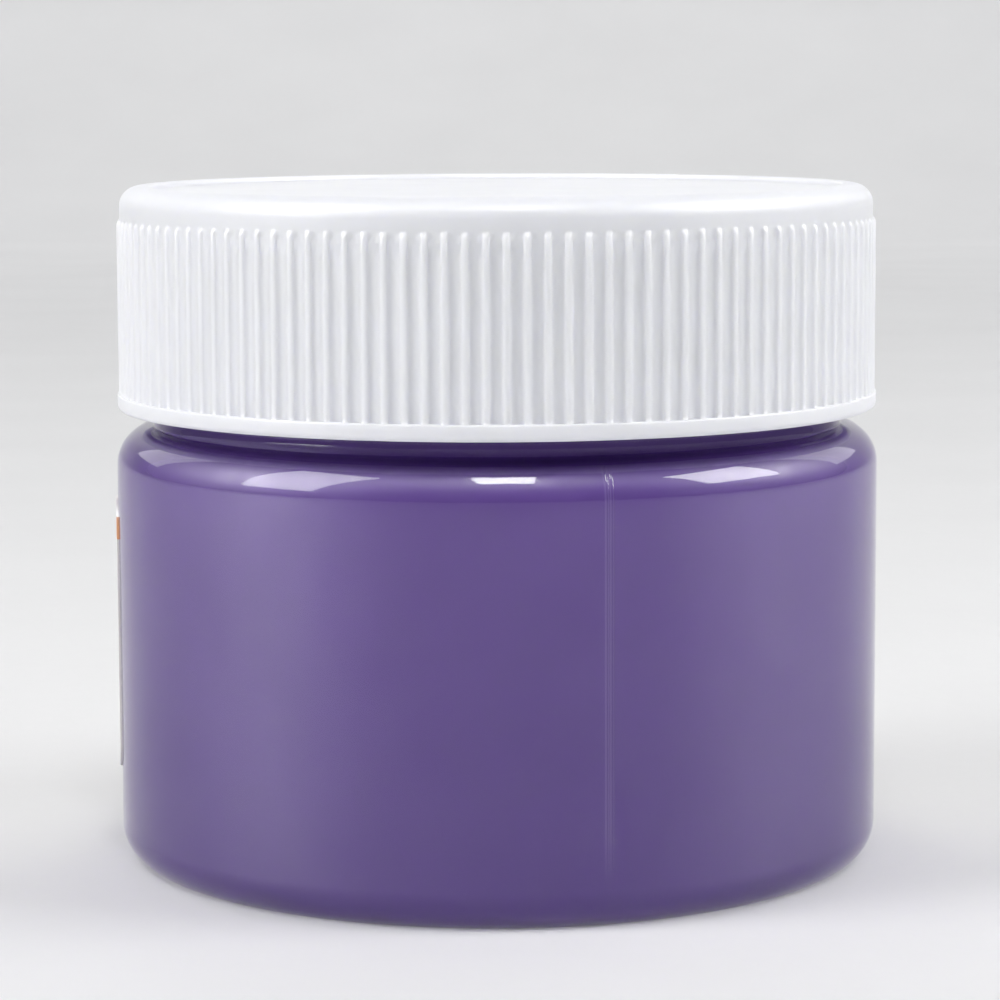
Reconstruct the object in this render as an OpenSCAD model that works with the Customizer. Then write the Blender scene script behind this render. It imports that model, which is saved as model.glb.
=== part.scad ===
// Small wide-mouth paint jar: clear jar, paint, wrap label, ribbed screw lid and foam liner.
// Millimetres, +Z up. The origin is the centre of the base, on the surface the jar stands on.

/* [Jar] */
// outside diameter of the body
jar_d = 55.2; // [55:0.1:60]
// height of the body, from the base to the top of the shoulder
shoulder_z = 31.8; // [31:0.1:45]
// rounding of the shoulder, outside
shoulder_round = 2.8; // [2:0.1:2.8]
// rounding of the base edge, outside
base_round = 2.8; // [2:0.1:4]
// wall thickness of the body
jar_wall = 0.9; // [0.6:0.1:1.2]
// height of the pushed-up centre of the base
push_up = 1.5; // [0.5:0.1:2.5]
// height that the paint fills to
paint_z = 39; // [34:0.5:40]

/* [Neck and thread] */
// outside diameter of the neck, between the threads
neck_d = 49.8; // [48:0.1:49.8]
// height of the neck above the shoulder
neck_h = 14.6; // [14:0.1:18]
// wall thickness of the neck
neck_wall = 1.2; // [0.9:0.1:1.6]
// height that the thread stands out from its wall
thread_h = 1; // [0.8:0.05:1]
// rise of the thread in one turn
thread_pitch = 4.233; // [4:0.001:4.4]
// turns of thread on the neck, and in the lid
thread_turns = 1.5; // [1:0.25:1.5]

/* [Lid] */
// outside diameter of the lid, over its lower band
lid_d = 55; // [55:0.1:58]
// gap between the top of the shoulder and the lid's lower edge
lid_gap = 1.2; // [0.8:0.1:1.5]
// thickness of the lid's top at the edge of its panel
lid_top = 1.2; // [1:0.1:1.6]
// depth of the panel below the raised rim
panel_depth = 0.4; // [0.2:0.1:0.8]
// number of grip ribs
rib_count = 126; // [60:2:160]
// height of a rib above its groove
rib_h = 0.25; // [0.2:0.05:0.4]
// thickness of the foam liner
liner_t = 1; // [0.8:0.1:1.4]

/* [Label] */
// height of the label
label_h = 19.7; // [10:0.1:20]
// height of the label's lower edge
label_z = 6.8; // [5:0.1:7]
// how far round the body the label goes, in degrees
label_wrap = 187; // [90:1:300]

/* [Hidden] */
$fn = 180;
jar_r = jar_d / 2;
neck_r = neck_d / 2;
neck_bore_r = neck_r - neck_wall;
rim_z = shoulder_z + neck_h;
rim_round = 0.35;
standing_ring_w = 4.5;
push_up_r = jar_r - base_round - standing_ring_w;
bead_rise = 1.4;
bead_z = shoulder_z + bead_rise;
bead_r = 0.45;

fit_gap = 0.35;
bore_r = neck_r + thread_h + fit_gap;
thread_drop = 2.6;
thread_top_z = rim_z - thread_drop;
thread_root_w = 2;
thread_crest_w = 0.8;
thread_embed = 0.4;
thread_step = 6;
thread_run_out = 24;

lid_r = lid_d / 2;
lid_z = shoulder_z + lid_gap;
liner_top_z = rim_z + liner_t;
panel_z = liner_top_z + lid_top;
top_z = panel_z + panel_depth;
band_proud = 0.07;
rib_r = lid_r - band_proud;
skirt_r = rib_r - rib_h;
band_h = 1.15;
band_round = 0.4;
top_band_h = 2.2;
rib_top_z = top_z - top_band_h;
rib_root_share = 0.48;
rib_top_share = 0.32;
top_round = 1.4;
rim_flat_w = 0.88;
panel_r = skirt_r - top_round - rim_flat_w;
panel_crown = 0.3;
retainer_r = 0.5;
retainer_inset = 0.15;
retainer_drop = 0.7;
retainer_z = rim_z - retainer_drop;
liner_gap = 0.4;
liner_r = bore_r - liner_gap;

label_t = 0.15;
label_start = 2;

dome_steps = 8;
small_round = 0.1;
overlap = 0.01;
cut = 1;

// Half section of a round body, z0 to z1, with its lower and upper edges rounded.
module rounded_section(r, z0, z1, low, high) {
    translate([0, z0]) square([r - low, low]);
    translate([0, z0 + low]) square([r, z1 - z0 - low - high]);
    translate([0, z1 - high]) square([r - high, high]);
    translate([r - low, z0 + low]) circle(r = low);
    translate([r - high, z1 - high]) circle(r = high);
}

// Half section of a shallow dome that is rise high over a circle of radius r, lifted by lift.
module dome_section(r, rise, lift) {
    ball_r = (r * r + rise * rise) / (2 * rise);
    arc = [for (i = [0:dome_steps])
        let (x = r * i / dome_steps)
        [x, rise + lift - ball_r + sqrt(ball_r * ball_r - x * x)]];
    polygon(concat(arc, [[r, -cut], [0, -cut]]));
}

// Half section of the space inside the jar, up past its rim.
module cavity_section() {
    difference() {
        union() {
            rounded_section(jar_r - jar_wall, jar_wall, shoulder_z - jar_wall,
                            base_round - jar_wall, shoulder_round - jar_wall);
            translate([0, shoulder_z - jar_wall - cut]) square([neck_bore_r, neck_h + jar_wall + 2 * cut]);
        }
        dome_section(push_up_r, push_up, jar_wall);
    }
}

// Half section of the jar's outside, with the bead below the thread.
module jar_section() {
    rounded_section(jar_r, 0, shoulder_z, base_round, shoulder_round);
    translate([0, shoulder_z - cut]) square([neck_r, neck_h + cut - rim_round]);
    translate([0, rim_z - rim_round - cut]) square([neck_r - rim_round, rim_round + cut]);
    translate([neck_r - rim_round, rim_z - rim_round]) circle(r = rim_round);
    translate([0, bead_z - bead_r]) square([neck_r + thread_h - bead_r, 2 * bead_r]);
    translate([neck_r + thread_h - bead_r, bead_z]) circle(r = bead_r);
}

// The four corners of the ridge where it has turned by angle, from root below to root above.
function ridge_corners(wall_r, out, upper_z, angle, end_angle) =
    let (from_end = min(angle, end_angle - angle),
         rise = (thread_h + thread_embed) * min(1, from_end / thread_run_out) - thread_embed / 2,
         root_r = wall_r - out * thread_embed,
         tip_r = min(thread_h, rise) * out + wall_r,
         z = upper_z - thread_pitch * angle / 360)
    [for (p = [[root_r, -thread_root_w / 2], [tip_r, -thread_crest_w / 2],
               [tip_r, thread_crest_w / 2], [root_r, thread_root_w / 2]])
        [p[0] * cos(angle), -p[0] * sin(angle), z + p[1]]];

// A right-hand helical ridge on a wall: out is 1 on an outside wall and -1 in a bore.
// It starts at upper_z and winds down, and both ends run out into the wall.
module thread_ridge(wall_r, out, upper_z) {
    end_angle = 360 * thread_turns;
    steps = end_angle / thread_step;
    points = [for (i = [0:steps]) each ridge_corners(wall_r, out, upper_z, i * thread_step, end_angle)];
    side = [for (i = [0:steps - 1], k = [0:3])
        let (a = 4 * i + k, b = 4 * i + (k + 1) % 4)
        each [[b, a, a + 4], [b, a + 4, b + 4]]];
    ends = [[0, 1, 2, 3], [for (k = [3:-1:0]) 4 * steps + k]];
    faces = concat(side, ends);
    polyhedron(points, out > 0 ? faces : [for (f = faces) [for (k = [len(f) - 1:-1:0]) f[k]]]);
}

// Clear jar: body, neck, bead and thread in one moulding.
module jar() {
    color([0.85, 0.87, 0.92, 0.45]) {
        rotate_extrude() difference() {
            jar_section();
            cavity_section();
            dome_section(push_up_r, push_up, 0);
        }
        thread_ridge(neck_r, 1, thread_top_z);
    }
}

// Paint: fills the inside of the jar up into the neck.
module paint() {
    color([0.36, 0.28, 0.53]) rotate_extrude() intersection() {
        cavity_section();
        square([jar_r, paint_z]);
    }
}

// Label: a thin sheet on the far side of the body.
module label() {
    color([0.93, 0.9, 0.86]) rotate([0, 0, label_start]) rotate_extrude(angle = label_wrap)
        translate([jar_r, label_z]) square([label_t, label_h]);
}

// Foam liner: a loose disc that the rim presses against the lid.
module liner() {
    color([0.96, 0.96, 0.94]) translate([0, 0, rim_z]) cylinder(r = liner_r, h = liner_t);
}

// Half section of the lid's outside without its ribs: lower band, skirt and rounded top.
module lid_section() {
    rounded_section(lid_r, lid_z, lid_z + band_h, band_round, small_round);
    rounded_section(skirt_r, lid_z + band_h / 2, top_z, small_round, top_round);
}

// Half section of the recess in the lid's top, over a slightly crowned panel.
module panel_section() {
    difference() {
        translate([0, panel_z]) square([panel_r, panel_depth + cut]);
        translate([0, panel_z]) dome_section(panel_r, panel_crown, 0);
    }
}

// Grip ribs: one toothed prism between the two smooth bands, its foot inside the lower one.
module ribs() {
    foot_z = lid_z + band_round;
    groove_r = skirt_r - overlap;
    corners = [[groove_r, -rib_root_share], [rib_r, -rib_top_share],
               [rib_r, rib_top_share], [groove_r, rib_root_share]];
    outline = [for (i = [0:rib_count - 1], p = corners)
        let (angle = 360 * (i + p[1] / 2) / rib_count)
        p[0] * [cos(angle), sin(angle)]];
    translate([0, 0, foot_z]) linear_extrude(rib_top_z - foot_z) polygon(outline);
}

// Ribbed screw lid with an inside thread and a bead that keeps the liner in.
module lid() {
    color([0.95, 0.95, 0.97]) {
        difference() {
            union() {
                rotate_extrude() lid_section();
                ribs();
            }
            translate([0, 0, lid_z - cut]) cylinder(r = bore_r, h = liner_top_z - lid_z + cut);
            rotate_extrude() panel_section();
        }
        translate([0, 0, retainer_z]) rotate_extrude()
            translate([bore_r - retainer_inset, 0]) circle(r = retainer_r);
        thread_ridge(bore_r, -1, thread_top_z - thread_pitch / 2);
    }
}

jar();
paint();
label();
liner();
lid();
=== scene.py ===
import math

import bpy
import numpy as np
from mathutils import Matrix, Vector


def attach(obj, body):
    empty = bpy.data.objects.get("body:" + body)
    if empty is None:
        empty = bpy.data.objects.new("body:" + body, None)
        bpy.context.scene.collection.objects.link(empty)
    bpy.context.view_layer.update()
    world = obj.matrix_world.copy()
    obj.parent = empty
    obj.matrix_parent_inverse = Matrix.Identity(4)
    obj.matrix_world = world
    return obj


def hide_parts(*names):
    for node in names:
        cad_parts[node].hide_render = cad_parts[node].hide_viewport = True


# Small wide-mouth paint jar. Half sections are in millimetres, as (radius, height), and meshes in metres.
# +Z is up, the plain front faces -Y, and azimuths are in degrees anticlockwise from +X.

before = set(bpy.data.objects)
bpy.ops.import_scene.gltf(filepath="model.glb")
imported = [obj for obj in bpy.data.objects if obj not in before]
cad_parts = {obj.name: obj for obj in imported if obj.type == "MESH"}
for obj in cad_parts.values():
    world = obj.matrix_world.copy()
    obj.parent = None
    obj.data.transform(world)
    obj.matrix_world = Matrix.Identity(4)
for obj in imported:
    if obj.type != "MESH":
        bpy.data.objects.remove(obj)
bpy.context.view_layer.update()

MM = 0.001
# edges that turn more than this many degrees are shaded sharp
SHARP_ANGLE = 62

# body
JAR_R = 27.6
SHOULDER_Z = 31.8
SHOULDER_ROUND = 2.8
BASE_ROUND = 2.8
WALL = 0.9
STANDING_RING_W = 4.5
PUSH_UP = 1.5
PUSH_UP_R = JAR_R - BASE_ROUND - STANDING_RING_W
PAINT_Z = 39.0

# neck
NECK_R = 24.9
NECK_WALL = 1.2
NECK_BORE_R = NECK_R - NECK_WALL
NECK_H = 14.6
RIM_Z = SHOULDER_Z + NECK_H
RIM_ROUND = 0.35
BEAD_RISE = 1.4
BEAD_Z = SHOULDER_Z + BEAD_RISE
BEAD_R = 0.45

# thread, on the neck and in the lid: the two heights are those of its upper end
THREAD_H = 1.0
THREAD_ROOT_W = 1.66
THREAD_CREST_W = 0.8
THREAD_RUN_OUT = 24.0
PITCH = 4.233
THREAD_TURNS = 1.5
THREAD_DROP = 2.6
NECK_THREAD_Z = RIM_Z - THREAD_DROP
LID_THREAD_Z = NECK_THREAD_Z - PITCH / 2

# liner
LINER_T = 1.0
LINER_GAP = 0.4
FIT_GAP = 0.35
BORE_R = NECK_R + THREAD_H + FIT_GAP
LINER_R = BORE_R - LINER_GAP
LINER_TOP_Z = RIM_Z + LINER_T

# lid
LID_R = 27.5
LID_GAP = 1.2
LID_Z = SHOULDER_Z + LID_GAP
BAND_H = 1.15
BAND_ROUND = 0.4
SKIRT_R = 27.18
LID_TOP = 1.2
PANEL_DEPTH = 0.4
PANEL_CROWN = 0.3
PANEL_Z = LINER_TOP_Z + LID_TOP
TOP_Z = PANEL_Z + PANEL_DEPTH
TOP_ROUND = 1.4
RIM_FLAT_W = 0.88
PANEL_R = SKIRT_R - TOP_ROUND - RIM_FLAT_W
RETAINER_DROP = 0.7
RETAINER_Z = RIM_Z - RETAINER_DROP
RETAINER_R = 0.5
RETAINER_INSET = 0.15

# grip ribs: their half width at the foot is a share of the pitch, and they narrow over their upper end
RIB_COUNT = 126
RIB_R = 27.40
TOP_BAND_H = 2.2
RIB_TOP_Z = TOP_Z - TOP_BAND_H
RIB_HALF_SHARE = 0.24
RIB_NARROW_H = 4.8
RIB_NARROW_Z = RIB_TOP_Z - RIB_NARROW_H
RIB_NARROWING = 0.2
RIB_SOFT_END = 0.5
# across one rib: each column's place as a share of the half width, and its share of the height
RIB_STATIONS = ((-1.0, 0.0), (-0.80, 0.5), (-0.50, 0.92), (0.0, 1.0), (0.50, 0.92), (0.80, 0.5), (1.0, 0.0))

# label, with its printed strip and swatch
LABEL_T = 0.15
LABEL_GLUE = 0.005
LABEL_Z = 6.8
LABEL_H = 19.7
LABEL_START = 2.0
LABEL_END = 189.0
LABEL_CORNER = 2.0
STRIP_DROP = 2.0
STRIP_HALF_H = 0.8
SWATCH_HALF_W = 9.0
SWATCH_HALF_H = 5.0

# mould parting line, two fine ridges on the jar, to the right of the front and again on the far side
SEAM_AZIMUTHS = (285.7, 105.7)
SEAM_HALF_GAP = 0.16
SEAM_HALF_WIDTH = 0.06
SEAM_H = 0.05
# painted light and painted shade along each front ridge, for the light that it bends onto the paint: for a
# light line and a dark line, the place to the right of the ridge, strength and colour; and the half widths
# within which a line is full and at which it ends
SEAM_PAINTED_LIGHT_AND_SHADE = ((0.0, 0.09, (0.50, 0.44, 0.66, 1)), (0.17, 0.28, (0.03, 0.012, 0.09, 1)))
SEAM_LINE_CORE = 0.03
SEAM_LINE_EDGE = 0.11


# ---- mesh helpers ----

def arc(mid_r, mid_z, radius, start, end, steps):
    """Points of an arc of a half section; degrees from outward, turning towards up."""
    angles = np.radians(np.linspace(start, end, steps + 1))
    return [(mid_r + radius * math.cos(a), mid_z + radius * math.sin(a)) for a in angles]


def dome(radius, rise, base_z, shares):
    """Points of a shallow crown at these shares of its radius."""
    ball = (radius ** 2 + rise ** 2) / (2 * rise)
    return [(radius * s, base_z + rise - ball + math.sqrt(ball ** 2 - (radius * s) ** 2)) for s in shares]


def mesh_object(name, points, faces):
    """A smooth-shaded mesh object from points in millimetres."""
    mesh = bpy.data.meshes.new(name)
    mesh.from_pydata((np.asarray(points) * MM).tolist(), [], faces)
    mesh.polygons.foreach_set("use_smooth", [True] * len(mesh.polygons))
    mesh.update()
    mesh.set_sharp_from_angle(angle=math.radians(SHARP_ANGLE))
    obj = bpy.data.objects.new(name, mesh)
    bpy.context.scene.collection.objects.link(obj)
    return obj


def skin_between_poles(name, radii, heights, azimuths):
    """A closed skin: rows of a turned shape, whose first and last rows shrink to points on the axis.

    radii and heights are rows by columns, and azimuths is the same or a single row.
    """
    rows, cols = radii.shape
    turn = np.radians(np.broadcast_to(azimuths, radii.shape))
    ring = np.stack([radii * np.cos(turn), radii * np.sin(turn), heights], axis=-1)
    inner = ring[1:-1].reshape(-1, 3)
    points = np.vstack([[0, 0, heights[0, 0]], inner, [0, 0, heights[-1, 0]]])
    here = np.arange(cols)
    after = (here + 1) % cols
    faces = [(0, 1 + int(b), 1 + int(a)) for a, b in zip(here, after)]
    for row in range(rows - 3):
        low = 1 + row * cols
        high = low + cols
        faces += np.stack([low + here, low + after, high + after, high + here], axis=1).tolist()
    last = 1 + (rows - 3) * cols
    faces += [(last + int(a), last + int(b), len(points) - 1) for a, b in zip(here, after)]
    return mesh_object(name, points, faces)


def sheet_faces(corners):
    """Four-sided faces over a grid of point numbers."""
    grid = [corners[:-1, :-1], corners[1:, :-1], corners[1:, 1:], corners[:-1, 1:]]
    return np.stack(grid, axis=-1).reshape(-1, 4).tolist()


def turned(name, profile, columns):
    """A plain turned piece from its half section, pole to pole."""
    azimuths = np.arange(columns) * 360.0 / columns
    section = np.array(profile)
    shape = (len(section), len(azimuths))
    radii = np.broadcast_to(section[:, :1], shape)
    heights = np.broadcast_to(section[:, 1:], shape)
    return skin_between_poles(name, radii, heights, azimuths)


def smooth_step(share):
    """0 to 1 with a level start and end."""
    share = np.clip(share, 0, 1)
    return share * share * (3 - 2 * share)


def thread_height(azimuths, heights, top_z):
    """How far a right-hand thread stands out of its wall at each azimuth and height."""
    best = np.zeros(np.broadcast(azimuths, heights).shape)
    for lap in (0, 360):
        turned_by = np.mod(-azimuths, 360) + lap
        from_end = np.minimum(turned_by, THREAD_TURNS * 360 - turned_by)
        off = np.abs(heights - (top_z - PITCH * turned_by / 360))
        flank = (THREAD_ROOT_W - THREAD_CREST_W) / 2
        ridge = smooth_step((THREAD_ROOT_W / 2 - off) / flank)
        best = np.maximum(best, ridge * smooth_step(from_end / THREAD_RUN_OUT))
    return best * THREAD_H


# ---- node helpers ----

class Nodes:
    """A material's node tree, with a short call for each kind of node that is used."""

    def __init__(self, name):
        self.material = bpy.data.materials.new(name)
        self.material.use_nodes = True
        self.tree = self.material.node_tree
        self.tree.nodes.clear()
        self.output = self.add("ShaderNodeOutputMaterial")
        self.place = self.add("ShaderNodeTexCoord").outputs["Object"]

    def add(self, kind, **settings):
        node = self.tree.nodes.new(kind)
        for key, value in settings.items():
            setattr(node, key, value)
        return node

    def set(self, socket, value):
        if isinstance(value, bpy.types.NodeSocket):
            self.tree.links.new(value, socket)
        else:
            socket.default_value = value

    def noise(self, size_mm, detail=2.0):
        """Noise whose features are about size_mm across."""
        node = self.add("ShaderNodeTexNoise")
        self.set(node.inputs["Vector"], self.place)
        node.inputs["Scale"].default_value = 1 / (size_mm * MM)
        node.inputs["Detail"].default_value = detail
        return node.outputs["Fac"]

    def spread(self, value, low, high, out_low=0.0, out_high=1.0):
        """value from low..high to out_low..out_high."""
        node = self.add("ShaderNodeMapRange")
        for key, number in zip(("Value", "From Min", "From Max", "To Min", "To Max"),
                               (value, low, high, out_low, out_high)):
            self.set(node.inputs[key], number)
        return node.outputs["Result"]

    def math(self, operation, *values):
        node = self.add("ShaderNodeMath", operation=operation)
        for socket, value in zip(node.inputs, values):
            self.set(socket, value)
        return node.outputs[0]

    def blend(self, share, first, second):
        node = self.add("ShaderNodeMix", data_type="RGBA")
        self.set(node.inputs["Factor"], share)
        self.set(node.inputs["A"], first)
        self.set(node.inputs["B"], second)
        return node.outputs["Result"]

    def bump(self, height, depth_mm):
        """Surface relief whose full swing is depth_mm deep."""
        node = self.add("ShaderNodeBump")
        node.inputs["Distance"].default_value = depth_mm * MM
        self.set(node.inputs["Height"], height)
        return node.outputs["Normal"]

    def axes(self):
        node = self.add("ShaderNodeSeparateXYZ")
        self.set(node.inputs["Vector"], self.place)
        return node.outputs

    def surface(self, **values):
        """The main shader, connected to the output."""
        node = self.add("ShaderNodeBsdfPrincipled")
        for key, value in values.items():
            self.set(node.inputs[key.replace("_", " ")], value)
        self.set(self.output.inputs["Surface"], node.outputs["BSDF"])
        return node


def white_plastic():
    """Moulded white polypropylene: satin, faintly uneven, and light scatters inside it."""
    n = Nodes("white_plastic")
    tone = n.blend(n.spread(n.noise(6), 0.3, 0.7), (0.775, 0.782, 0.82, 1), (0.795, 0.802, 0.84, 1))
    n.surface(Base_Color=tone, Roughness=n.spread(n.noise(4, 2), 0.3, 0.7, 0.42, 0.48), IOR=1.49,
              Normal=n.bump(n.noise(6, 1), 0.006), Specular_IOR_Level=0.2, Subsurface_Weight=0.9,
              Subsurface_Radius=(1.0, 1.0, 1.1), Subsurface_Scale=1.4 * MM)
    return n.material


def clear_plastic():
    """Glossy clear blown plastic, which lets lamps light what is behind it."""
    n = Nodes("clear_plastic")
    glass = n.surface(Base_Color=(0.97, 0.97, 0.985, 1), Transmission_Weight=1.0, IOR=1.5,
                      Roughness=n.spread(n.noise(1.5, 4), 0.35, 0.75, 0.03, 0.09),
                      Normal=n.bump(n.noise(7, 1), 0.015))
    path = n.add("ShaderNodeLightPath")
    mix = n.add("ShaderNodeMixShader")
    n.set(mix.inputs[0], n.math("MAXIMUM", path.outputs["Is Shadow Ray"], path.outputs["Is Diffuse Ray"]))
    n.set(mix.inputs[1], glass.outputs["BSDF"])
    n.set(mix.inputs[2], n.add("ShaderNodeBsdfTransparent").outputs[0])
    n.set(n.output.inputs["Surface"], mix.outputs[0])
    return n.material


def paint_tone(n):
    """Purple paint with faint cloudy patches, and painted shade that darkens it towards the base."""
    cloudy = n.spread(n.noise(9, 3), 0.3, 0.7)
    upper = n.blend(cloudy, (0.084, 0.035, 0.220, 1), (0.094, 0.040, 0.242, 1))
    # painted shade: the paint is blended darker from just below the shoulder down to the base, most at the
    # base
    painted_base_shade = n.spread(n.axes()["Z"], 3 * MM, 30 * MM, 0.62, 0.0)
    return n.blend(painted_base_shade, upper, (0.040, 0.010, 0.138, 1))


def paint_on_wall():
    """Paint wetting the inside of the jar, so that it has little gloss of its own.

    A painted light line and a painted shade line run along each ridge of the front parting line, for the
    light that it bends.
    """
    n = Nodes("paint_on_wall")
    x, y, z = n.axes()
    seam = math.radians(SEAM_AZIMUTHS[0])
    along_y = n.math("MULTIPLY", y, math.cos(seam))
    along_x = n.math("MULTIPLY", x, math.sin(seam))
    to_right = n.math("SUBTRACT", along_y, along_x)
    tone = paint_tone(n)
    above_base = n.spread(z, BASE_ROUND * MM, 2.5 * BASE_ROUND * MM)
    below_neck = n.spread(z, (SHOULDER_Z - SHOULDER_ROUND) * MM, SHOULDER_Z * MM, 1.0, 0.0)
    on_side = n.math("MULTIPLY", above_base, below_neck)
    # painted light and painted shade: a light line and a dark line beside each ridge of the seam, on the side
    # wall only
    for centre in (-SEAM_HALF_GAP, SEAM_HALF_GAP):
        for shift, share, shade in SEAM_PAINTED_LIGHT_AND_SHADE:
            off = n.math("ABSOLUTE", n.math("SUBTRACT", to_right, (centre + shift) * MM))
            line = n.spread(off, SEAM_LINE_CORE * MM, SEAM_LINE_EDGE * MM, share, 0.0)
            tone = n.blend(n.math("MULTIPLY", line, on_side), tone, shade)
    n.surface(Base_Color=tone, Roughness=n.spread(n.noise(3, 3), 0.3, 0.7, 0.40, 0.52), IOR=1.25,
              Normal=n.bump(n.noise(4, 2), 0.02))
    return n.material


def paint_top():
    """The open surface of the paint: wet, level and faintly dimpled."""
    n = Nodes("paint_top")
    n.surface(Base_Color=paint_tone(n), Roughness=n.spread(n.noise(2, 2), 0.3, 0.7, 0.08, 0.18), IOR=1.45,
              Normal=n.bump(n.noise(8, 2), 0.12))
    return n.material


def foam():
    """Closed-cell foam: off-white with fine pores, each painted darker in its hollow as painted shade."""
    n = Nodes("foam")
    cells = n.add("ShaderNodeTexVoronoi")
    n.set(cells.inputs["Vector"], n.place)
    cells.inputs["Scale"].default_value = 1 / (0.35 * MM)
    pore_dimples_and_shade = n.spread(cells.outputs["Distance"], 0.05, 0.5)
    # painted shade: each pore is darker where the bump sinks it
    tone = n.blend(pore_dimples_and_shade, (0.70, 0.70, 0.66, 1), (0.82, 0.82, 0.79, 1))
    n.surface(Base_Color=tone, Roughness=n.spread(n.noise(0.8), 0.3, 0.7, 0.7, 0.85),
              Normal=n.bump(pore_dimples_and_shade, 0.03))
    return n.material


def label_paper():
    """Coated label: off-white stock, an orange strip near its top and a purple swatch at its middle."""
    n = Nodes("label_paper")
    x, _, z = n.axes()
    grain = n.spread(n.noise(0.2, 3), 0.3, 0.7)
    stock = n.blend(grain, (0.78, 0.76, 0.72, 1), (0.84, 0.82, 0.78, 1))

    def within(value, centre, half_width):
        off = n.math("ABSOLUTE", n.math("SUBTRACT", value, centre * MM))
        return n.math("LESS_THAN", off, half_width * MM)

    in_strip = within(z, LABEL_Z + LABEL_H - STRIP_DROP, STRIP_HALF_H)
    near_middle = within(x, 0, SWATCH_HALF_W)
    near_height = within(z, LABEL_Z + LABEL_H / 2, SWATCH_HALF_H)
    in_swatch = n.math("MULTIPLY", near_middle, near_height)
    tone = n.blend(in_strip, stock, (0.80, 0.38, 0.17, 1))
    tone = n.blend(in_swatch, tone, (0.15, 0.10, 0.32, 1))
    n.surface(Base_Color=tone, Roughness=n.spread(n.noise(1.0, 3), 0.3, 0.7, 0.38, 0.5),
              Normal=n.bump(grain, 0.004))
    return n.material


def pale_floor():
    """Plain pale studio paper."""
    n = Nodes("pale_floor")
    tone = n.blend(n.spread(n.noise(40), 0.3, 0.7), (0.66, 0.66, 0.665, 1), (0.68, 0.68, 0.685, 1))
    n.surface(Base_Color=tone, Roughness=n.spread(n.noise(2), 0.3, 0.7, 0.72, 0.82))
    return n.material


# ---- pieces ----

def jar_azimuths():
    """Column azimuths of the jar: even steps, with close ones across each parting line."""
    even_columns = 288
    to_one_side = np.array([0.03, 0.10, 0.16, 0.22, 0.30])
    close = np.degrees(np.concatenate([-to_one_side[::-1], to_one_side]) / JAR_R)
    even = np.arange(even_columns) * 360.0 / even_columns
    for seam in SEAM_AZIMUTHS:
        even = even[np.abs(even - seam) > close[-1] * 1.3]
    return np.sort(np.concatenate([even] + [seam + close for seam in SEAM_AZIMUTHS]))


def jar_section():
    """Half section of the jar, in two parts: outside, from base to rim, and inside, from rim to base."""
    corner = 0.12
    bead_foot = 0.08
    thread_row = 0.16
    inner_r = JAR_R - WALL
    inner_top = SHOULDER_Z - WALL
    inner_round = SHOULDER_ROUND - WALL
    outside = dome(PUSH_UP_R, PUSH_UP, 0, np.linspace(0, 1, 9))
    outside += [(PUSH_UP_R + 0.3, 0.0), ((PUSH_UP_R + JAR_R - BASE_ROUND) / 2, 0.0)]
    outside += arc(JAR_R - BASE_ROUND, BASE_ROUND, BASE_ROUND, -90, 0, 12)
    outside += [(JAR_R, z) for z in np.linspace(BASE_ROUND, SHOULDER_Z - SHOULDER_ROUND, 16)[1:]]
    outside += arc(JAR_R - SHOULDER_ROUND, SHOULDER_Z - SHOULDER_ROUND, SHOULDER_ROUND, 0, 86, 12)[1:]
    bead_mid = NECK_R + THREAD_H - BEAD_R
    outside += [(NECK_R + corner, SHOULDER_Z + 0.03), (NECK_R, SHOULDER_Z + 0.15)]
    outside += [(NECK_R, BEAD_Z - BEAD_R - bead_foot)]
    outside += arc(bead_mid, BEAD_Z, BEAD_R, -90, 90, 8)
    outside += [(NECK_R, BEAD_Z + BEAD_R + bead_foot)]
    outside += [(NECK_R, z) for z in np.arange(BEAD_Z + 0.7, RIM_Z - 0.8, thread_row)]
    outside += arc(NECK_R - RIM_ROUND, RIM_Z - RIM_ROUND, RIM_ROUND, 0, 90, 5)
    inside = arc(NECK_BORE_R + corner, RIM_Z - corner, corner, 90, 180, 3)
    inside += [(NECK_BORE_R, z) for z in np.linspace(RIM_Z - 0.6, inner_top + 0.6, 8)]
    inside += [(NECK_BORE_R + 0.04, inner_top + 0.16), (NECK_BORE_R + 0.2, inner_top)]
    inside += arc(inner_r - inner_round, inner_top - inner_round, inner_round, 90, 0, 8)
    inside += [(inner_r, z) for z in np.linspace(inner_top - inner_round, WALL + inner_round, 6)[1:]]
    inside += arc(inner_r - inner_round, WALL + inner_round, inner_round, 0, -90, 8)[1:]
    inside += dome(PUSH_UP_R, PUSH_UP, WALL, np.linspace(1, 0, 7))
    return outside, inside


def make_jar():
    """The jar's shell, with its thread and parting lines raised out of the turned shape."""
    outside, inside = jar_section()
    section = np.array(outside + inside)
    azimuths = jar_azimuths()
    radii = np.repeat(section[:, :1], len(azimuths), axis=1)
    heights = np.repeat(section[:, 1:], len(azimuths), axis=1)
    is_outside = (np.arange(len(section)) < len(outside))[:, None]
    above_bead = heights > BEAD_Z + BEAD_R + 0.15
    on_neck = is_outside & np.isclose(radii, NECK_R) & above_bead
    radii = radii + np.where(on_neck, thread_height(azimuths[None, :], heights, NECK_THREAD_Z), 0)
    on_body = is_outside & (radii > NECK_R) & (heights < SHOULDER_Z + 0.01)
    above_base = smooth_step((heights - 1.0) / 2.5)
    below_neck = smooth_step((SHOULDER_Z + 0.4 - heights) / 0.8)
    for seam in SEAM_AZIMUTHS:
        off = np.abs(np.radians(azimuths - seam)) * JAR_R
        ridge = smooth_step(1 - np.abs(off - SEAM_HALF_GAP) / SEAM_HALF_WIDTH)
        radii = radii + np.where(on_body, SEAM_H * above_base * below_neck * ridge[None, :], 0)
    return skin_between_poles("jar_shell", radii, heights, azimuths)


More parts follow.
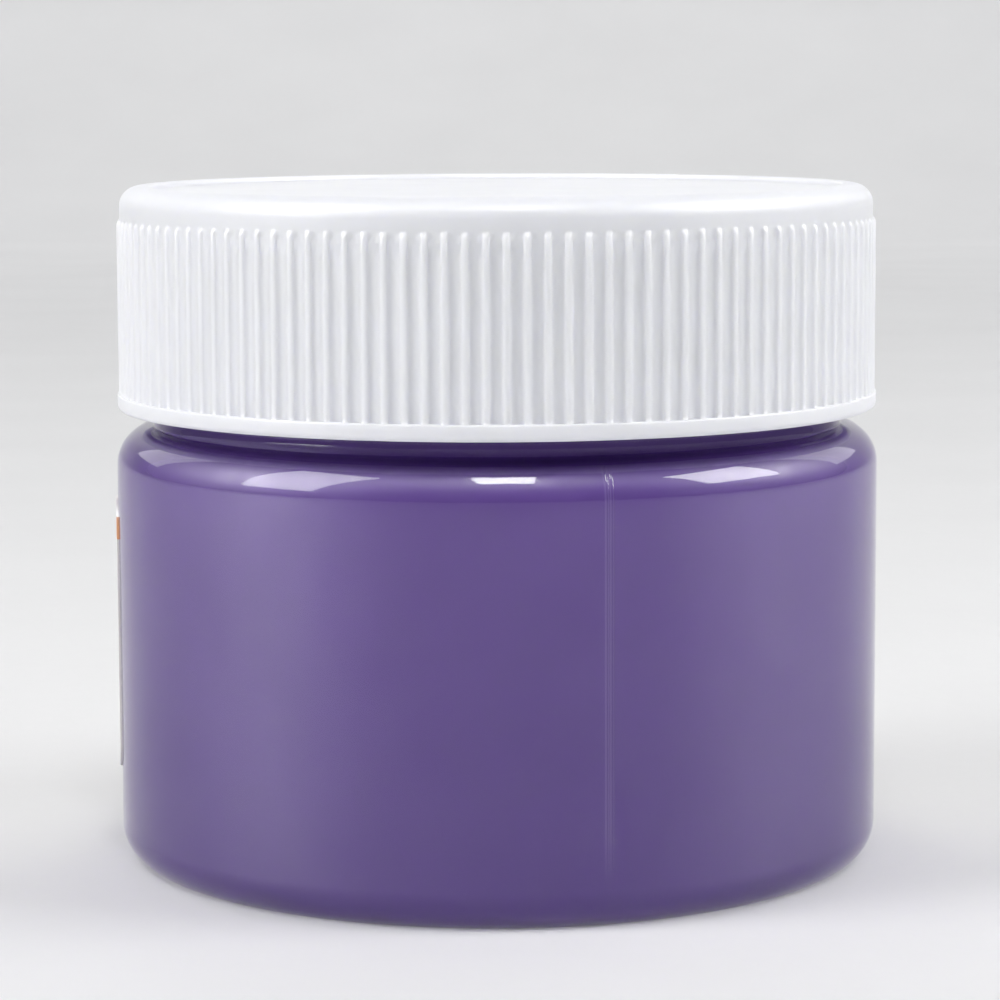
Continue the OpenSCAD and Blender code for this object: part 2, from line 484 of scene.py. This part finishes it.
def make_paint():
    """The fill. It reaches just into the wall, so that it looks wetted on, and ends in a meniscus."""
    wet = 0.02
    columns = 240
    wall_r = JAR_R - WALL + wet
    neck = NECK_BORE_R + wet
    inner_round = SHOULDER_ROUND - WALL
    low = WALL - wet
    top = SHOULDER_Z - WALL + wet
    section = dome(PUSH_UP_R, PUSH_UP, low, np.linspace(0, 1, 7))
    section += arc(wall_r - inner_round, low + inner_round, inner_round, -90, 0, 8)
    section += [(wall_r, z) for z in np.linspace(low + inner_round, top - inner_round, 6)[1:]]
    section += arc(wall_r - inner_round, top - inner_round, inner_round, 0, 90, 8)[1:]
    section += [(neck + 0.15, top), (neck, top + 0.15)]
    section += [(neck, z) for z in np.linspace(top + 1, PAINT_Z + 0.3, 5)]
    wall_rows = len(section)
    section += [(neck - 0.06, PAINT_Z + 0.3), (neck - 0.2, PAINT_Z + 0.12), (neck - 0.5, PAINT_Z + 0.02)]
    section += [(neck - 1.2, PAINT_Z - 0.03)]
    section += [(neck * s, PAINT_Z - 0.04) for s in (0.8, 0.6, 0.4, 0.2, 0)]
    paint = turned("paint_fill", section, columns)
    paint.data.materials.append(paint_on_wall())
    paint.data.materials.append(paint_top())
    first_top_face = columns * (wall_rows - 1)
    indices = np.arange(len(paint.data.polygons)) >= first_top_face
    paint.data.polygons.foreach_set("material_index", indices.astype(int))
    return paint


def make_liner():
    """Foam disc with softened edges, and a shallow ring where the jar's rim presses it."""
    edge = 0.2
    print_depth = 0.05
    print_slope = 0.3
    print_z = RIM_Z + print_depth
    section = [(0, RIM_Z), (12, RIM_Z), (22, RIM_Z), (NECK_BORE_R - print_slope, RIM_Z)]
    section += [(NECK_BORE_R, print_z), ((NECK_BORE_R + NECK_R) / 2, print_z), (NECK_R, print_z)]
    section += [(NECK_R + print_slope, RIM_Z)]
    section += arc(LINER_R - edge, RIM_Z + edge, edge, -90, 0, 5)
    section += arc(LINER_R - edge, LINER_TOP_Z - edge, edge, 0, 90, 5)
    section += [(20, LINER_TOP_Z), (10, LINER_TOP_Z), (0, LINER_TOP_Z)]
    return turned("liner_disc", section, 192)


def lid_section():
    """Half section of the lid, from the middle of its underside to the middle of its top.

    Each row is (radius, height, kind), where kind is bore, rib or plain.
    """
    bore_row = 0.34
    rows = [(r, LINER_TOP_Z, "plain") for r in (0, 12, 22, 25.6, 26.05)]
    rows += [(BORE_R, LINER_TOP_Z - 0.2, "plain"), (BORE_R, RETAINER_Z + RETAINER_R + 0.05, "plain")]
    bead = arc(BORE_R - RETAINER_INSET, RETAINER_Z, RETAINER_R, 108, 252, 6)
    rows += [(min(r, BORE_R), z, "plain") for r, z in bead]
    rows += [(BORE_R, z, "bore") for z in np.arange(RETAINER_Z - 0.8, LID_Z + 0.6, -bore_row)]
    rows += [(BORE_R, LID_Z + 0.35, "plain"), (BORE_R + 0.1, LID_Z + 0.08, "plain")]
    rows += [(BORE_R + 0.3, LID_Z, "plain")]
    rows += [(r, z, "plain") for r, z in arc(LID_R - BAND_ROUND, LID_Z + BAND_ROUND, BAND_ROUND, -90, 0, 6)]
    band_z = LID_Z + BAND_H
    rows += [(r, z, "plain") for r, z in arc(LID_R - 0.1, band_z - 0.1, 0.1, 0, 75, 3)]
    rows += [(SKIRT_R, band_z + rise, "rib") for rise in (0.02, 0.3)]
    rows += [(SKIRT_R, RIB_NARROW_Z - drop, "rib") for drop in (6, 3, 0)]
    rows += [(SKIRT_R, RIB_TOP_Z - drop, "rib") for drop in (3.8, 2.8, 1.8, 0.9, 0.45, 0.3, 0.18, 0.08, 0.02)]
    rows += [(SKIRT_R, RIB_TOP_Z + 0.15, "plain"), (SKIRT_R, RIB_TOP_Z + 0.5, "plain")]
    top = arc(SKIRT_R - TOP_ROUND, TOP_Z - TOP_ROUND, TOP_ROUND, 0, 90, 10)
    rows += [(r, z, "plain") for r, z in top]
    rows += [(PANEL_R + 0.15, TOP_Z, "plain"), (PANEL_R + 0.04, TOP_Z - 0.05, "plain")]
    rows += [(PANEL_R, TOP_Z - 0.15, "plain"), (PANEL_R - 0.03, PANEL_Z + 0.1, "plain")]
    crown = dome(PANEL_R, PANEL_CROWN, PANEL_Z, (0.99, 0.9, 0.7, 0.45, 0.2, 0))
    rows += [(r, z, "plain") for r, z in crown]
    return rows


def rib_width(z):
    """How wide the ribs are at a height, against their full width: they narrow over their upper end."""
    return 1 - RIB_NARROWING * float(smooth_step((z - RIB_NARROW_Z) / (RIB_TOP_Z - RIB_NARROW_Z)))


def rib_height(z):
    """How far the ribs stand out at a height: full, with a soft upper end."""
    return (RIB_R - SKIRT_R) * float(smooth_step((RIB_TOP_Z - z) / RIB_SOFT_END))


def make_lid():
    """The lid's shell: every row has the same columns, seven across each rib and one in each groove."""
    rows = lid_section()
    pitch = 360.0 / RIB_COUNT
    stations = np.array(RIB_STATIONS)
    starts = np.arange(RIB_COUNT)[:, None] * pitch
    radii, heights, azimuths = [], [], []
    for r, z, kind in rows:
        width = rib_width(z)
        offsets = np.concatenate([stations[:, 0] * RIB_HALF_SHARE * width, [0.5]]) * pitch
        turn = (starts + offsets[None, :]).ravel()
        row_r = np.full(turn.shape, float(r))
        if kind == "rib":
            row_r += np.tile(np.append(stations[:, 1], 0), RIB_COUNT) * rib_height(z)
        if kind == "bore":
            row_r -= thread_height(turn, np.full(turn.shape, float(z)), LID_THREAD_Z)
        radii.append(row_r)
        heights.append(np.full(turn.shape, float(z)))
        azimuths.append(turn)
    return skin_between_poles("lid_shell", np.array(radii), np.array(heights), np.array(azimuths))


def make_label():
    """A thin curved sheet with rounded corners, just off the wall."""
    outer_r = JAR_R + LABEL_T
    inner_r = JAR_R + LABEL_GLUE
    length = math.radians(LABEL_END - LABEL_START) * outer_r
    corner = LABEL_CORNER * (1 - np.cos(np.radians(np.linspace(0, 90, 9))))
    middle = np.linspace(LABEL_CORNER, length - LABEL_CORNER, 120)[1:-1]
    along = np.concatenate([corner, middle, (length - corner)[::-1]])
    from_end = np.minimum(along, length - along)
    short = np.clip(LABEL_CORNER - from_end, 0, None)
    inset = LABEL_CORNER - np.sqrt(LABEL_CORNER ** 2 - short ** 2)
    up = np.linspace(0, 1, 9)
    turn = (math.radians(LABEL_START) + along / outer_r)[:, None]
    z = LABEL_Z + inset[:, None] + up[None, :] * (LABEL_H - 2 * inset[:, None])
    across, high = z.shape
    points = [np.stack([r * np.cos(turn) + 0 * z, r * np.sin(turn) + 0 * z, z], axis=-1).reshape(-1, 3)
              for r in (outer_r, inner_r)]
    outer = np.arange(across * high).reshape(across, high)
    inner = outer + across * high
    faces = sheet_faces(outer) + sheet_faces(inner[::-1])
    faces += sheet_faces(np.stack([inner[:, 0], outer[:, 0]], axis=1))
    faces += sheet_faces(np.stack([outer[:, -1], inner[:, -1]], axis=1))
    faces += sheet_faces(np.stack([inner[0], outer[0]]))
    faces += sheet_faces(np.stack([outer[-1], inner[-1]]))
    return mesh_object("label_sheet", np.concatenate(points), faces)


def install(piece, node, body, material=None):
    """Puts a piece in place of its CAD node."""
    if material is not None:
        piece.data.materials.append(material)
    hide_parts(node)
    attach(piece, body)


install(make_jar(), "jar", "jar_body", clear_plastic())
install(make_paint(), "paint", "jar_body")
install(make_label(), "label", "jar_body", label_paper())
install(make_liner(), "liner", "liner_body", foam())
install(make_lid(), "lid", "lid_body", white_plastic())


# ---- stage ----

# places in metres and roll in radians
JAR_MIDDLE = (0, 0, 0.03)
CAMERA_PLACE = (0, -0.2585, 0.0573)
CAMERA_LOOKS_AT = (0.0002, 0, 0.02592)
CAMERA_ROLL = -0.004
SENSOR_MM = 36.0
LENS_MM = 128.06


def make_stage():
    """A floor that curves up into a backdrop."""
    reach = 1500.0
    near = 300.0
    cove = 350.0
    back = 900.0
    run = [(-reach, 0.0), (-near, 0.0), (near, 0.0)]
    run += arc(back, cove, cove, -90, 0, 24)
    run += [(back + cove, reach)]
    points = [(x, y, z) for y, z in run for x in (-reach, reach)]
    faces = [(2 * i, 2 * i + 1, 2 * i + 3, 2 * i + 2) for i in range(len(run) - 1)]
    stage = mesh_object("studio_floor", points, faces)
    stage.data.materials.append(pale_floor())


def softbox(name, azimuth, elevation, distance, width, height, power, shine=0.0, aim=JAR_MIDDLE,
            mirrored=True):
    """A soft area light, seen from the jar at this azimuth to the right of the front.

    shine adds a twin that many times as strong for reflections only, for a crisp highlight on gloss.
    mirrored is False for a light that isn't to be seen in reflections at all.
    """
    turn = math.radians(azimuth)
    rise = math.radians(elevation)
    away = Vector((math.sin(turn) * math.cos(rise), -math.cos(turn) * math.cos(rise), math.sin(rise)))
    for part, watts in (("", power), ("_shine", power * shine)):
        if watts == 0:
            continue
        light = bpy.data.lights.new(name + part, "AREA")
        light.shape = "RECTANGLE"
        light.size = width
        light.size_y = height
        light.energy = watts
        obj = bpy.data.objects.new(name + part, light)
        obj.location = Vector(JAR_MIDDLE) + away * distance
        toward = Vector(aim) - obj.location
        obj.rotation_euler = toward.to_track_quat("-Z", "Y").to_euler()
        obj.visible_diffuse = part == ""
        obj.visible_glossy = mirrored
        bpy.context.scene.collection.objects.link(obj)


def make_camera():
    """The photograph's viewpoint: a little above the lid, looking slightly down."""
    data = bpy.data.cameras.new("camera")
    data.sensor_width = SENSOR_MM
    data.lens = LENS_MM
    data.clip_start = 0.01
    camera = bpy.data.objects.new("camera", data)
    camera.location = CAMERA_PLACE
    look = Vector(CAMERA_LOOKS_AT) - Vector(CAMERA_PLACE)
    camera.rotation_euler = look.to_track_quat("-Z", "Y").to_euler()
    camera.rotation_euler.rotate_axis("Z", CAMERA_ROLL)
    bpy.context.scene.collection.objects.link(camera)
    bpy.context.scene.camera = camera


def make_world():
    """A dim even sky, as fill light."""
    world = bpy.data.worlds.new("studio")
    world.use_nodes = True
    background = world.node_tree.nodes["Background"]
    background.inputs["Color"].default_value = (0.80, 0.81, 0.84, 1)
    background.inputs["Strength"].default_value = 0.20
    bpy.context.scene.world = world


make_stage()
make_world()
make_camera()
softbox("left_box", -68, 34, 0.70, 0.33, 0.56, 2.2, shine=13.0)
softbox("right_box", 81, 34, 0.70, 0.35, 0.32, 2.0, shine=10.8)
softbox("front_lamp", 3, 56, 0.70, 0.17, 0.23, 1.35, shine=7.6)
softbox("rear_left", -134, 28, 0.80, 0.30, 0.45, 0.55, shine=1.4)
softbox("rear_right", 134, 28, 0.80, 0.30, 0.45, 0.55, shine=1.4)
softbox("top_box", 180, 80, 0.80, 0.70, 0.70, 0.9)
softbox("backdrop_box", 180, 33, 1.30, 1.60, 0.25, 5.5, aim=(0, 1.15, 0), mirrored=False)
bpy.context.scene.view_settings.view_transform = "Standard"
